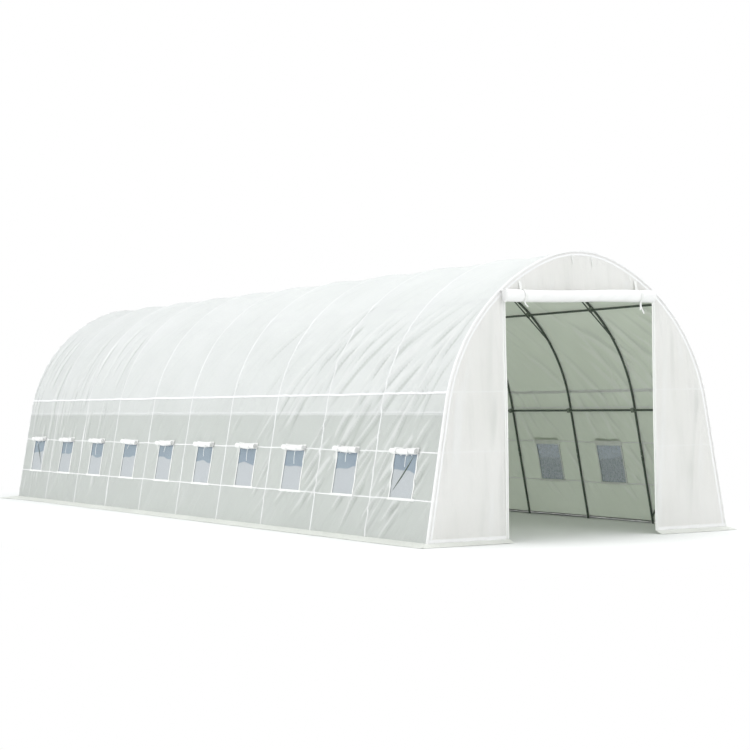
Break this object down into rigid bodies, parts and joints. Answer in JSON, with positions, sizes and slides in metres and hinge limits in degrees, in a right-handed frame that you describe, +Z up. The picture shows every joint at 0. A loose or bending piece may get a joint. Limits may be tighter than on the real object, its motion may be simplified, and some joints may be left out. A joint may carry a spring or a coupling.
{
  "type": "polytunnel greenhouse",
  "caption": "Walk-in polytunnel greenhouse: steel hoops and purlins under a translucent film cover, with net side windows, an open door end with its curtain rolled up, and a ground skirt.",
  "frame": {"origin": "on the ground, at the middle of the plan", "axes": "+Z up, Y along the tunnel with the door end facing -Y, X across it"},
  "size_m": [3.3108, 10.3486, 2.36],
  "materials": {
    "frame_tube": "dark green powder coat, satin",
    "clamp": "pale grey-green moulded plastic",
    "cover_film": "translucent white woven-grid polythene film, satin",
    "end_film": "translucent white ribbed polythene film, satin",
    "skirt_film": "white polythene film, satin",
    "rolled_film": "white rolled polythene film, satin",
    "window_net": "fine blue-grey insect net"
  },
  "bodies": {
    "root": {"back_door_curtain": "end_film", "back_gable": "end_film", "back_panel_left": "end_film", "back_panel_right": "end_film", "corner_braces": "frame_tube", "cover_crown": "cover_film", "cover_lower_shoulder_left": "cover_film", "cover_lower_shoulder_right": "cover_film", "cover_upper_shoulder_left": "cover_film", "cover_upper_shoulder_right": "cover_film", "cover_wall_left": "cover_film", "cover_wall_right": "cover_film", "front_door_roll": "rolled_film", "front_gable": "end_film", "front_panel_left": "end_film", "front_panel_right": "end_film", "hoop_01": "frame_tube", "hoop_02": "frame_tube", "hoop_03": "frame_tube", "hoop_04": "frame_tube", "hoop_05": "frame_tube", "hoop_06": "frame_tube", "hoop_07": "frame_tube", "hoop_08": "frame_tube", "hoop_09": "frame_tube", "hoop_10": "frame_tube", "hoop_11": "frame_tube", "mid_clamps": "clamp", "mid_purlin_left": "frame_tube", "mid_purlin_right": "frame_tube", "ridge_clamps": "clamp", "ridge_purlin": "frame_tube", "shoulder_braces": "frame_tube", "skirt_back": "skirt_film", "skirt_front": "skirt_film", "skirt_left": "skirt_film", "skirt_right": "skirt_film", "upper_clamps": "clamp", "upper_purlin_left": "frame_tube", "upper_purlin_right": "frame_tube", "window_nets_left": "window_net", "window_nets_right": "window_net", "window_rolls_left": "rolled_film", "window_rolls_right": "rolled_film"}
  },
  "joints": []
}
